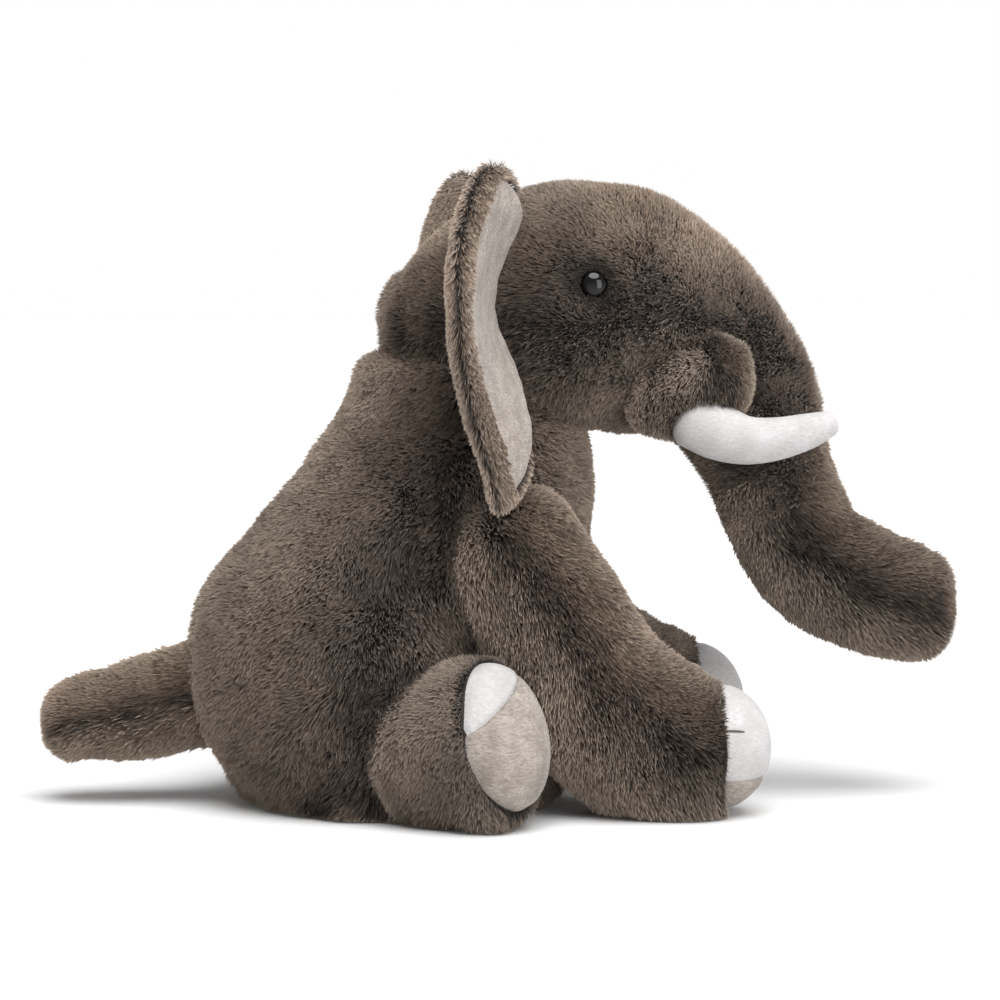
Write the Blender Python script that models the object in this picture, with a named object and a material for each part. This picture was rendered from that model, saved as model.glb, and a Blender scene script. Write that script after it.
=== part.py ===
"""Stuffed elephant sitting on the floor, modelled panel by panel as it is sewn.

Units are metres, +Z is up and the elephant faces +X, with its left side at +Y. Every soft part is a
closed "sack": a smooth loft of elliptical sections. The sewn panels are strips of a sack's surface
given a thickness, and its filling is the same sack drawn in by that thickness. Where a moving part
is sewn into another one, the swept hull of its whole range is cut out of the part that holds it.
"""

import math

import bmesh
import bpy
from mathutils import Matrix, Vector
from mathutils.bvhtree import BVHTree

MM = 0.001

# Fabric and fit
PLUSH = 2.5 * MM  # backing and the dense foot of the pile
MINKY = 1.5 * MM  # short-pile lining, sole pads and toe panels
VELBOA = 1.2 * MM  # tusk fabric
SEAM_GAP = 0.3 * MM  # between pieces that touch
SWING_GAP = 1.5 * MM  # around a moving part's whole range
SWEEP_STEP = 15  # degrees between the positions that a swept hull holds

# Shift along X that puts the origin under the middle of the bounding box
CENTRE_SHIFT = -1.6 * MM

# Sections: x, y, z of the centre, pitch of the path in degrees, half size across the path in the
# vertical plane, half size sideways. Millimetres. The right-hand limbs; the left ones are mirrored.
TORSO = [
    (-39, 0, 0, 90, 47, 56),
    (-41.5, 0, 7, 90, 61.5, 66),
    (-44.5, 0, 22, 90, 73, 73),
    (-48, 0, 46, 90, 81, 76),
    (-47, 0, 68, 90, 80.5, 75),
    (-42.5, 0, 92, 90, 77, 71),
    (-34.5, 0, 112, 90, 69, 67),
    (-24, 0, 136, 90, 60, 60),
    (-17.5, 0, 160, 90, 49.5, 52),
    (-17, 0, 181, 90, 40, 43),
]
TORSO_DOME = 10

HEAD = [
    (-38, 0, 200, 0, 21, 30),
    (-25, 0, 203, 0, 34, 45),
    (0, 0, 206, 0, 46.5, 54),
    (25, 0, 208.5, 0, 50, 57),
    (50, 0, 210, 0, 48.5, 54),
    (75, 0, 201.5, 0, 45, 45),
    (94, 0, 190, 0, 37, 31),
]
HEAD_BACK_DOME = 9
HEAD_FRONT_DOME = 16

TRUNK = [
    (102, 0, 178, -62, 27, 25),
    (113, 0, 150, -66, 25, 23),
    (119, 0, 129, -66, 22, 21),
    (127, 0, 111, -60, 22.5, 21),
]
TRUNK_ROOT_DOME = 24
TRUNK_END_DOME = 16
TRUNK_ROOT_REACH = 48  # from the pivot, how much of the trunk the head makes room for

TRUNK_TIP = [
    (135, 0, 102.5, -45, 22.5, 21),
    (147, 0, 93.5, -32, 23, 22),
    (163, 0, 85.5, -24, 22.5, 21),
    (179.5, 0, 78.5, -24, 21, 18),
]
TIP_ROOT_DOME = 20
TIP_END_DOME = 11

CHEEK = [
    (66, -36, 174, -10, 16.5, 14),
    (79, -38, 178, -10, 20.5, 16.5),
    (92, -38, 179, -10, 15.5, 13),
]
CHEEK_DOME = 7

TUSK = [
    (78, -44, 160.5, -25, 10.5, 10),
    (90, -46, 156.5, -14, 10.5, 10),
    (102, -47.5, 155, 0, 10, 9.5),
    (115, -48, 156.5, 12, 8.7, 8.5),
    (125, -48, 159.3, 20, 7.2, 7),
    (132, -47, 162, 25, 5, 5),
]
TUSK_ROOT_DOME = 8
TUSK_TIP_DOME = 4

ARM = [
    (0, -46, 106, -48, 31, 27),
    (20, -49, 79, -48, 29.5, 27),
    (36, -52, 49.5, -40, 31.5, 26),
    (60, -54, 33, -22, 30, 26),
    (85, -55, 28.5, 0, 27, 25),
]
ARM_ROOT_DOME = 27
ARM_FOOT_DOME = 21
ARM_TOE_LINE = -12  # height of the seam between toe panel and sole pad, from the foot's middle
ARM_TOE_LEAN = 0
ARM_RAISED = {"right": 0, "left": 3}  # degrees about the shoulder that each arm is held up at rest

LEG = [
    (-31, -66, 33, 0, 29, 25),
    (-18, -76, 35, 8, 32.5, 26.5),
    (-5, -86, 38.5, 16, 30, 26),
]
LEG_ROOT_DOME = 24
LEG_FOOT_DOME = 15
LEG_SPLAY = -30
LEG_TOE_LINE = 13
LEG_TOE_LEAN = 28

TAIL = [
    (-112, 0, 46, 188, 20, 18),
    (-134, 0, 43.5, 190, 19, 17),
    (-159, 0, 38, 194, 16.5, 15.5),
    (-180, 0, 32, 196, 12, 12),
]
TAIL_ROOT_DOME = 15
TAIL_TIP_DOME = 9

# Ear outline: distance outwards from the seam, height; and how the ear lies
EAR_OUTLINE = [
    (0, 184),
    (-1, 211),
    (0, 237),
    (13, 254),
    (33, 266),
    (52, 260),
    (63, 238),
    (63, 210),
    (56, 180),
    (48, 150),
    (38, 132),
    (27, 138),
    (12, 163),
]
EAR_MIDDLE = (31, 204)
EAR_SEAM = (-1, -55)  # x and y of the upright seam
EAR_SWEEP = 0.32  # how far the ear leans back for each step outwards
EAR_TWIST = 0.1  # how much more its top and bottom lean back
EAR_CUP = 15  # how far its top and bottom come forward
EAR_CUP_HEIGHT = 208
EAR_CUP_REACH = 62  # height above or below that of the full twist and cup
EAR_HALF_THICKNESS = 4.5
EAR_ROOT_WIDTH = 16  # the strip beside the seam that the head makes room for
EAR_WRAP = 0.9  # share of the outline that the plush rim covers on the front

EYE_POINT = (35.5, 222)  # x and z of the eye
EYE_RADIUS = 6.5
EYE_DEPTH = 4.5
POST_RADIUS = 2
POST_LENGTH = 12
WASHER_RADIUS = 7
WASHER_THICKNESS = 1.2
WASHER_BORE = 2.3

NECK_OPENING = (-10, 158, 30)  # x, z and radius of the hole in the head skin
PELLET_TOP = 22  # height of the pellet bag in the seat

# Joints: pivot in millimetres, axis, lowest and highest angle in degrees. Right-hand limbs.
NECK = ((-9, 0, 175), (0, 1, 0), -10, 10)
TRUNK_ROOT = ((102, 0, 178), (0, -1, 0), -8, 20)
TRUNK_FOLD = ((135, 0, 102.5), (0, -1, 0), -15, 25)
EAR_HINGE = ((-1, -55, 205), (0, 0, 1), -20, 25)
SHOULDER = ((0, -46, 106), (0, -1, 0), -1, 30)
HIP = ((-31, -66, 33), (-0.5, -0.8660254, 0), -4, 18)
TAIL_ROOT = ((-112, 0, 46), (0, 0, 1), -20, 20)

# Colours as sRGB hex, and roughness
FINISHES = {
    "plush": ("6B6259", 0.95),
    "minky": ("C0BAB4", 0.85),
    "velboa": ("E8E6EC", 0.8),
    "fibre": ("F2F1EE", 0.95),
    "pellets": ("D8D4CC", 0.7),
    "eye": ("060505", 0.06),
    "washer": ("E4E2DC", 0.45),
}
SIDES = {"right": 1, "left": -1}


def linear(hex_colour):
    """sRGB hex to linear RGBA."""
    channels = [int(hex_colour[i : i + 2], 16) / 255 for i in (0, 2, 4)]
    return [((c + 0.055) / 1.055) ** 2.4 if c > 0.04045 else c / 12.92 for c in channels] + [1]


def material(name, finish):
    """A Principled material of a finish, one for each sub-part."""
    made = bpy.data.materials.new(name)
    made.use_nodes = True
    shader = made.node_tree.nodes["Principled BSDF"]
    colour, roughness = FINISHES[finish]
    shader.inputs["Base Color"].default_value = linear(colour)
    shader.inputs["Roughness"].default_value = roughness
    shader.inputs["Metallic"].default_value = 0
    return made


def catmull_rom(rows, steps, closed=False):
    """Points on a smooth curve through the rows, with the given steps between two rows."""
    count = len(rows)
    spans = count if closed else count - 1
    points = []
    for span in range(spans):
        if closed:
            four = [rows[(span + k) % count] for k in (-1, 0, 1, 2)]
        else:
            four = [rows[min(max(span + k, 0), count - 1)] for k in (-1, 0, 1, 2)]
        for step in range(steps):
            t = step / steps
            points.append(
                tuple(
                    b
                    + 0.5 * t * (c - a)
                    + t * t * (a - 2.5 * b + 2 * c - 0.5 * d)
                    + t**3 * (1.5 * (b - c) + 0.5 * (d - a))
                    for a, b, c, d in zip(*four)
                )
            )
    if not closed:
        points.append(tuple(rows[-1]))
    return points


def section_frame(row, splay, side):
    """Centre, heading, upward and sideways unit vectors of a section."""
    x, y, z, pitch = row[:4]
    turn = Matrix.Rotation(math.radians(splay * side), 3, "Z")
    pitch = math.radians(pitch)
    heading = turn @ Vector((math.cos(pitch), 0, math.sin(pitch)))
    upward = turn @ Vector((-math.sin(pitch), 0, math.cos(pitch)))
    sideways = turn @ Vector((0, 1, 0))
    return Vector((x, y * side, z)), heading, upward, sideways


def sack(rows, start_dome, end_dome, points=14, steps=1, splay=0, side=1):
    """Closed loft of elliptical sections with a domed or, at zero, a flat end."""
    bm = bmesh.new()
    smooth_rows = catmull_rom(rows, steps)
    rings = []
    for number, row in enumerate(smooth_rows):
        shells = [(0, 1)]
        if number == 0 and start_dome:
            shells = [(-math.sin(a) * start_dome, math.cos(a)) for a in (1.1, 0.58)] + shells
        if number == len(smooth_rows) - 1 and end_dome:
            shells += [(math.sin(a) * end_dome, math.cos(a)) for a in (0.58, 1.1)]
        centre, heading, upward, sideways = section_frame(row, splay, side)
        for forward, share in shells:
            ring = []
            for i in range(points):
                angle = 2 * math.pi * i / points
                across = upward * (math.cos(angle) * row[4] * share)
                along_side = sideways * (math.sin(angle) * row[5] * share)
                ring.append(bm.verts.new((centre + heading * forward + across + along_side) * MM))
            rings.append(ring)
    for near, far in zip(rings, rings[1:]):
        for i in range(points):
            j = (i + 1) % points
            bm.faces.new((near[i], near[j], far[j], far[i]))
    ends = ((0, -start_dome, rings[0]), (-1, end_dome, rings[-1]))
    for number, dome, ring in ends:
        if not dome:
            bm.faces.new(ring)
            continue
        centre, heading, _, _ = section_frame(smooth_rows[number], splay, side)
        apex = bm.verts.new((centre + heading * dome) * MM)
        for i in range(points):
            bm.faces.new((ring[i], ring[(i + 1) % points], apex))
    bmesh.ops.recalc_face_normals(bm, faces=bm.faces)
    return bm


def ear_sack(side):
    """Closed cushion on the ear's outline, leaning back and cupped forward. Front faces have index 1."""
    outline = catmull_rom(EAR_OUTLINE, 2, closed=True)
    count = len(outline)
    layers = [(0.45, -1.0), (0.88, -0.95), (1.0, 0.0)]
    layers += [(EAR_WRAP, 0.95), (0.45, 1.0)]
    bm = bmesh.new()

    def place(out, height, depth):
        bend = ((height - EAR_CUP_HEIGHT) / EAR_CUP_REACH) ** 2
        x = EAR_SEAM[0] - (EAR_SWEEP + EAR_TWIST * bend) * out + EAR_CUP * bend + depth
        return Vector((x, (EAR_SEAM[1] - out) * side, height)) * MM

    rings = []
    for share, depth in layers:
        ring = []
        for out, height in outline:
            o = EAR_MIDDLE[0] + (out - EAR_MIDDLE[0]) * share
            h = EAR_MIDDLE[1] + (height - EAR_MIDDLE[1]) * share
            ring.append(bm.verts.new(place(o, h, depth * EAR_HALF_THICKNESS)))
        rings.append(ring)
    front_from = 3
    for number, (near, far) in enumerate(zip(rings, rings[1:])):
        for i in range(count):
            j = (i + 1) % count
            face = bm.faces.new((near[i], near[j], far[j], far[i]))
            face.material_index = int(number >= front_from)
    for ring, depth, front in ((rings[0], -1, 0), (rings[-1], 1, 1)):
        hub = bm.verts.new(place(*EAR_MIDDLE, depth * EAR_HALF_THICKNESS))
        for i in range(count):
            face = bm.faces.new((ring[i], ring[(i + 1) % count], hub))
            face.material_index = front
    bmesh.ops.recalc_face_normals(bm, faces=bm.faces)
    return bm


def grown(bm, distance):
    """Copy of a sack with its surface moved outwards by a distance."""
    copy = bm.copy()
    copy.normal_update()
    moves = [(v, v.normal * (v.calc_shell_factor() * distance)) for v in copy.verts]
    for vertex, move in moves:
        vertex.co += move
    return copy


def swept(bm, joint, side=1, reach=None):
    """Convex hull of a sack over a joint's whole range, with the swing gap around it."""
    pivot, axis, low, high = joint
    centre = Vector((pivot[0], pivot[1] * side, pivot[2])) * MM
    hinge = Vector((axis[0] * side, axis[1], axis[2] * side))
    turns = max(2, math.ceil((high - low) / SWEEP_STEP))
    angles = [low + (high - low) * k / turns for k in range(turns + 1)]
    source = grown(bm, SWING_GAP)
    hull = bmesh.new()
    for angle in angles:
        turn = Matrix.Rotation(math.radians(angle), 3, hinge)
        for vertex in source.verts:
            offset = vertex.co - centre
            if reach is None or offset.length < reach * MM:
                hull.verts.new(centre + turn @ offset)
    made = bmesh.ops.convex_hull(hull, input=hull.verts)
    inside = {v for v in made["geom_interior"] if isinstance(v, bmesh.types.BMVert)}
    inside |= {v for v in made["geom_unused"] if isinstance(v, bmesh.types.BMVert)}
    bmesh.ops.delete(hull, geom=list(inside), context="VERTS")
    bmesh.ops.recalc_face_normals(hull, faces=hull.faces)
    source.free()
    return hull


def pivot_of(joint, side=1):
    """World position of a joint's pivot."""
    x, y, z = joint[0]
    return Vector((x, y * side, z)) * MM


def raised(rows, joint, degrees):
    """Sections turned up about a joint's pivot, in the plane of X and Z."""
    x0, _, z0 = joint[0]
    cos, sin = math.cos(math.radians(degrees)), math.sin(math.radians(degrees))
    turned = []
    for x, y, z, pitch, up, wide in rows:
        x, z = x - x0, z - z0
        turned.append((x0 + cos * x - sin * z, y, z0 + sin * x + cos * z, pitch + degrees, up, wide))
    return turned


def add_pivot(name, joint, parent=None, side=1):
    """Empty on a joint's axis that carries the moving pieces."""
    empty = bpy.data.objects.new(name, None)
    bpy.context.scene.collection.objects.link(empty)
    empty.empty_display_size = 20 * MM
    place = pivot_of(joint, side)
    if parent is not None:
        empty.parent = parent
        place = place - parent.matrix_world.translation
    empty.location = place
    bpy.context.view_layer.update()
    return empty


def add_object(name, bm, finish, parent):
    """Object from a mesh in world coordinates, with its origin on its parent's pivot."""
    origin = parent.matrix_world.translation
    bmesh.ops.translate(bm, vec=-origin, verts=bm.verts)
    mesh = bpy.data.meshes.new(name)
    bm.to_mesh(mesh)
    bm.free()
    mesh.materials.append(material(name, finish))
    mesh.shade_smooth()
    mesh.set_sharp_from_angle(angle=math.radians(50))
    made = bpy.data.objects.new(name, mesh)
    made.parent = parent
    bpy.context.scene.collection.objects.link(made)
    return made


def add_panel(name, bm, keep, thickness, finish, parent):
    """Sewn panel: the faces of a sack that are kept, drawn in at their edges and thickened inwards.

    Neighbouring panels use the whole sack's normals, so their edges stay parallel through the seam.
    """
    patch = bm.copy()
    patch.normal_update()
    inward = {v: v.normal * (-v.calc_shell_factor() * thickness) for v in patch.verts}
    loose = [face for face in patch.faces if not keep(face)]
    bmesh.ops.delete(patch, geom=loose, context="FACES")
    pulls = []
    for vertex in patch.verts:
        if not vertex.is_boundary:
            continue
        middles = [face.calc_center_median() - vertex.co for face in vertex.link_faces]
        pull = sum(middles, Vector())
        for edge in vertex.link_edges:
            if edge.is_boundary:
                along = (edge.other_vert(vertex).co - vertex.co).normalized()
                pull -= along * (0.5 * pull.dot(along))
        pull -= inward[vertex].normalized() * pull.dot(inward[vertex].normalized())
        pulls.append((vertex, pull.normalized() * (0.6 * SEAM_GAP)))
    for vertex, pull in pulls:
        vertex.co += pull
    outer_faces = list(patch.faces)
    rim = [edge for edge in patch.edges if edge.is_boundary]
    rim_pairs = [tuple(edge.verts) for edge in rim]
    lining = {v: patch.verts.new(v.co + inward[v]) for v in list(patch.verts)}
    for face in outer_faces:
        patch.faces.new([lining[v] for v in reversed(face.verts)])
    for a, b in rim_pairs:
        patch.faces.new((a, b, lining[b], lining[a]))
    for face in patch.faces:
        face.material_index = 0
    bmesh.ops.recalc_face_normals(patch, faces=patch.faces)
    return add_object(name, patch, finish, parent)


def add_filling(name, bm, thickness, parent, finish="fibre"):
    """Filling of a sack: the same shape inside its fabric."""
    inner = grown(bm, -(thickness + 1.5 * SEAM_GAP))
    for face in inner.faces:
        face.material_index = 0
    return add_object(name, inner, finish, parent)


def add_cutter(name, bm):
    """Hidden solid that is only there to cut others."""
    mesh = bpy.data.meshes.new(name)
    bm.to_mesh(mesh)
    bm.free()
    made = bpy.data.objects.new(name, mesh)
    made.parent = bpy.data.objects["base"]
    made.hide_render = True
    made.display_type = "WIRE"
    bpy.context.scene.collection.objects.link(made)
    return made


def cut(pieces, cutter):
    """Cut a hidden solid out of several pieces."""
    for piece in pieces:
        boolean = piece.modifiers.new(cutter.name, "BOOLEAN")
        boolean.operation = "DIFFERENCE"
        boolean.solver = "EXACT"
        boolean.object = cutter


def box(low, high):
    """Axis-aligned box between two corners in millimetres."""
    bm = bmesh.new()
    bmesh.ops.create_cube(bm, size=1)
    size = [(b - a) * MM for a, b in zip(low, high)]
    middle = [(a + b) / 2 * MM for a, b in zip(low, high)]
    bmesh.ops.scale(bm, vec=size, verts=bm.verts)
    bmesh.ops.translate(bm, vec=middle, verts=bm.verts)
    return bm


def root_open(joint, heading, side, depth):
    """Keep rule that leaves a sack open behind its root, where it is sewn on."""
    start = pivot_of(joint, side)

    def keep(face):
        return (face.calc_center_median() - start).dot(heading) > -depth * MM

    return keep


def foot_parts(bm, rows, splay, side, toe_line, toe_lean, root):
    """Cut the toe seam into a limb's foot, and give the keep rules of its tube, toe panel and sole pad."""
    middle, heading, upward, sideways = section_frame(rows[-1], splay, side)
    middle = middle * MM
    lean = math.radians(toe_lean)
    toes = upward * math.cos(lean) - sideways * (math.sin(lean) * side)

    def foot(face):
        return (face.calc_center_median() - middle).dot(heading) > 0.5 * MM

    def toe(face):
        return foot(face) and (face.calc_center_median() - middle).dot(toes) > toe_line * MM

    def pad(face):
        return foot(face) and not toe(face)

    faces = [face for face in bm.faces if foot(face)]
    edges = {edge for face in faces for edge in face.edges}
    corners = {vertex for face in faces for vertex in face.verts}
    bmesh.ops.bisect_plane(
        bm, geom=[*corners, *edges, *faces], dist=0.001 * MM,
        plane_co=middle + toes * (toe_line * MM), plane_no=toes,
    )

    def tube(face):
        return root(face) and not foot(face)

    return tube, toe, pad


def build_torso(base):
    """Body skin, its filling and the pellet bag it sits on."""
    shape = sack(TORSO, 0, TORSO_DOME, points=20)
    neck_edge = TORSO[-1][2] * MM

    def keep(face):
        return face.calc_center_median().z < neck_edge

    skin = add_panel("torso_skin", shape, keep, PLUSH, "plush", base)
    filling = add_filling("torso_stuffing", shape, PLUSH, base)
    bag = add_filling("seat_pellet_bag", shape, PLUSH, base, "pellets")
    wide = 200
    below = add_cutter("below_filling", box((-wide, -wide, -1), (wide, wide, PELLET_TOP + 0.4)))
    above = add_cutter("above_bag", box((-wide, -wide, PELLET_TOP), (wide, wide, wide)))
    cut([filling], below)
    cut([bag], above)
    shape.free()
    return [skin, filling, bag]


def build_head(neck):
    """Head skin, open at the neck, and its filling."""
    shape = sack(HEAD, HEAD_BACK_DOME, HEAD_FRONT_DOME, points=20)
    x, z, radius = NECK_OPENING
    opening = Vector((x, 0, z)) * MM

    def keep(face):
        return (face.calc_center_median() - opening).length > radius * MM

    skin = add_panel("head_skin", shape, keep, PLUSH, "plush", neck)
    filling = add_filling("head_stuffing", shape, PLUSH, neck)
    return shape, [skin, filling]


def build_trunk(neck, head):
    """Upper trunk and the curled-out tip, each a skin and its filling."""
    root = add_pivot("trunk_root", TRUNK_ROOT, neck)
    fold = add_pivot("trunk_fold", TRUNK_FOLD, root)
    upper = sack(TRUNK, TRUNK_ROOT_DOME, TRUNK_END_DOME)
    lower = sack(TRUNK_TIP, TIP_ROOT_DOME, TIP_END_DOME)
    heading = section_frame(TRUNK[0], 0, 1)[1]
    keep = root_open(TRUNK_ROOT, heading, 1, 5)
    skin = add_panel("trunk_skin", upper, keep, PLUSH, "plush", root)
    filling = add_filling("trunk_stuffing", upper, PLUSH, root)
    heading = section_frame(TRUNK_TIP[0], 0, 1)[1]
    keep = root_open(TRUNK_FOLD, heading, 1, 8)
    add_panel("trunk_tip_skin", lower, keep, PLUSH, "plush", fold)
    add_filling("trunk_tip_stuffing", lower, PLUSH, fold)
    cut([skin, filling], add_cutter("tip_sweep", swept(lower, TRUNK_FOLD)))
    sweep = add_cutter("trunk_sweep", swept(upper, TRUNK_ROOT, reach=TRUNK_ROOT_REACH))
    cut(head, sweep)
    upper.free()
    lower.free()
    return sweep


def build_cheek(name, side, neck, head, trunk_sweep):
    """Cheek pouch and the tusk that comes out of it, each a skin and its filling."""
    pouch = sack(CHEEK, CHEEK_DOME, CHEEK_DOME, points=12, side=side)
    tusk = sack(TUSK, TUSK_ROOT_DOME, TUSK_TIP_DOME, points=10, side=side)
    inner_wall = (abs(CHEEK[0][1]) - 9) * MM

    def pouch_keep(face):
        return abs(face.calc_center_median().y) > inner_wall

    tusk_base = Vector((TUSK[0][0], TUSK[0][1] * side, TUSK[0][2])) * MM
    tusk_heading = section_frame(TUSK[0], 0, side)[1]

    def tusk_keep(face):
        return (face.calc_center_median() - tusk_base).dot(tusk_heading) > 0

    pouch_skin = add_panel(f"cheek_skin_{name}", pouch, pouch_keep, PLUSH, "plush", neck)
    pouch_filling = add_filling(f"cheek_stuffing_{name}", pouch, PLUSH, neck)
    add_panel(f"tusk_skin_{name}", tusk, tusk_keep, VELBOA, "velboa", neck)
    add_filling(f"tusk_stuffing_{name}", tusk, VELBOA, neck)
    cut(head, add_cutter(f"cheek_cut_{name}", grown(pouch, SEAM_GAP)))
    cut([*head, pouch_skin, pouch_filling], add_cutter(f"tusk_cut_{name}", grown(tusk, SEAM_GAP)))
    cut([pouch_skin, pouch_filling], trunk_sweep)
    pouch.free()
    tusk.free()


def build_ear(name, side, neck, head):
    """Ear: plush back that wraps the rim, and the lining."""
    hinge = add_pivot(f"ear_hinge_{name}", EAR_HINGE, neck, side)
    shape = ear_sack(side)
    add_panel(f"ear_back_{name}", shape, lambda f: f.material_index == 0, 2 * MM, "plush", hinge)
    add_panel(f"ear_lining_{name}", shape, lambda f: f.material_index == 1, MINKY, "minky", hinge)
    root = [v for v in shape.verts if abs(v.co.y) < (EAR_ROOT_WIDTH - EAR_SEAM[1]) * MM]
    rest = [v for v in shape.verts if v not in set(root)]
    bmesh.ops.delete(shape, geom=rest, context="VERTS")
    cut(head, add_cutter(f"ear_sweep_{name}", swept(shape, EAR_HINGE, side)))
    shape.free()


def turned_piece(profile, direction, place, points=14):
    """Solid turned from a profile of (radius, height) round a direction."""
    bm = bmesh.new()
    verts = [bm.verts.new((r * MM, 0, h * MM)) for r, h in profile]
    edges = [bm.edges.new(pair) for pair in zip(verts, verts[1:])]
    if profile[0][0] > 0:
        edges.append(bm.edges.new((verts[-1], verts[0])))
    bmesh.ops.spin(
        bm, geom=verts + edges, axis=(0, 0, 1), cent=(0, 0, 0), steps=points,
        angle=2 * math.pi, use_merge=True,
    )
    bmesh.ops.remove_doubles(bm, verts=bm.verts, dist=0.001 * MM)
    bmesh.ops.recalc_face_normals(bm, faces=bm.faces)
    turn = Vector((0, 0, 1)).rotation_difference(direction).to_matrix().to_4x4()
    bmesh.ops.transform(bm, matrix=Matrix.Translation(place) @ turn, verts=bm.verts)
    return bm


def build_eye(name, side, neck, head_shape, head):
    """Safety eye: a dome on a post through the skin, and the locking washer behind it."""
    tree = BVHTree.FromBMesh(head_shape)
    x, z = EYE_POINT
    start = Vector((x, -200 * side, z)) * MM
    place, normal, _, _ = tree.ray_cast(start, Vector((0, side, 0)))
    dome = [
        (EYE_RADIUS * math.cos(a), EYE_DEPTH * math.sin(a) + 0.5)
        for a in (math.radians(15 * k) for k in range(6))
    ]
    profile = [(0, EYE_DEPTH + 0.5)] + dome[::-1]
    profile += [(POST_RADIUS, 0.5), (POST_RADIUS, -POST_LENGTH), (0, -POST_LENGTH)]
    add_object(f"eye_{name}", turned_piece(profile, normal, place), "eye", neck)
    top = -(PLUSH / MM + 0.4)
    low = top - WASHER_THICKNESS
    ring = [(WASHER_BORE, top), (WASHER_RADIUS, top), (WASHER_RADIUS, low), (WASHER_BORE, low)]
    add_object(f"eye_washer_{name}", turned_piece(ring, normal, place), "washer", neck)
    gap = SEAM_GAP / MM
    post = [(0, 3), (WASHER_BORE + gap, 3), (WASHER_BORE + gap, top + 0.2)]
    post += [(WASHER_RADIUS + gap, top + 0.2), (WASHER_RADIUS + gap, low - gap)]
    post += [(WASHER_BORE + gap, low - gap), (WASHER_BORE + gap, -POST_LENGTH - gap)]
    post += [(0, -POST_LENGTH - gap)]
    cut(head, add_cutter(f"eye_cut_{name}", turned_piece(post, normal, place)))


def build_arm(name, side, base, torso):
    """Front leg: tube, toe panel, sole pad and filling."""
    shoulder = add_pivot(f"shoulder_{name}", SHOULDER, base, side)
    rows = raised(ARM, SHOULDER, ARM_RAISED[name])
    shape = sack(rows, ARM_ROOT_DOME, ARM_FOOT_DOME, side=side)
    heading = section_frame(rows[0], 0, side)[1]
    root = root_open(SHOULDER, heading, side, 6)
    tube, toe, pad = foot_parts(shape, rows, 0, side, ARM_TOE_LINE, ARM_TOE_LEAN, root)
    add_panel(f"arm_skin_{name}", shape, tube, PLUSH, "plush", shoulder)
    add_panel(f"arm_toe_panel_{name}", shape, toe, MINKY, "velboa", shoulder)
    add_panel(f"arm_sole_pad_{name}", shape, pad, MINKY, "minky", shoulder)
    add_filling(f"arm_stuffing_{name}", shape, PLUSH, shoulder)
    cut(torso, add_cutter(f"arm_sweep_{name}", swept(shape, SHOULDER, side)))
    shape.free()


def build_leg(name, side, base, torso):
    """Hind leg: tube, toe panel, sole pad and filling."""
    hip = add_pivot(f"hip_{name}", HIP, base, side)
    shape = sack(LEG, LEG_ROOT_DOME, LEG_FOOT_DOME, splay=LEG_SPLAY, side=side)
    heading = section_frame(LEG[0], LEG_SPLAY, side)[1]
    root = root_open(HIP, heading, side, 5)
    tube, toe, pad = foot_parts(shape, LEG, LEG_SPLAY, side, LEG_TOE_LINE, LEG_TOE_LEAN, root)
    add_panel(f"leg_skin_{name}", shape, tube, PLUSH, "plush", hip)
    add_panel(f"leg_toe_panel_{name}", shape, toe, MINKY, "velboa", hip)
    add_panel(f"leg_sole_pad_{name}", shape, pad, MINKY, "minky", hip)
    add_filling(f"leg_stuffing_{name}", shape, PLUSH, hip)
    cut(torso, add_cutter(f"leg_sweep_{name}", swept(shape, HIP, side)))
    shape.free()


def build_tail(base, torso):
    """Tail skin and its filling."""
    root = add_pivot("tail_root", TAIL_ROOT, base)
    shape = sack(TAIL, TAIL_ROOT_DOME, TAIL_TIP_DOME, points=12)
    heading = section_frame(TAIL[0], 0, 1)[1]
    keep = root_open(TAIL_ROOT, heading, 1, 4)
    add_panel("tail_skin", shape, keep, PLUSH, "plush", root)
    add_filling("tail_stuffing", shape, PLUSH, root)
    cut(torso, add_cutter("tail_sweep", swept(shape, TAIL_ROOT)))
    shape.free()


def main():
    """Build the whole elephant."""
    for old in list(bpy.data.objects):
        bpy.data.objects.remove(old, do_unlink=True)
    base = add_pivot("base", ((0, 0, 0), (0, 0, 1), 0, 0))
    neck = add_pivot("neck", NECK, base)
    torso = build_torso(base)
    head_shape, head = build_head(neck)
    cut(torso, add_cutter("head_sweep", swept(head_shape, NECK)))
    trunk_sweep = build_trunk(neck, head)
    for name, side in SIDES.items():
        build_cheek(name, side, neck, head, trunk_sweep)
        build_ear(name, side, neck, head)
        build_eye(name, side, neck, head_shape, head)
        build_arm(name, side, base, torso)
        build_leg(name, side, base, torso)
    build_tail(base, torso)
    head_shape.free()
    base.location.x = CENTRE_SHIFT


main()
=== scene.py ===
# %% [markdown]
# # A stuffed elephant with a long-pile plush coat
# The toy is sewn from long-pile plush, short-napped minky and white velboa, and filled with fibre.
# The imported frame gives the bodies that move. Each piece made here rides on one of them, or, where
# it is sewn across a seam, has its place baked into its mesh.

# %% Load the frame
import math

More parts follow.
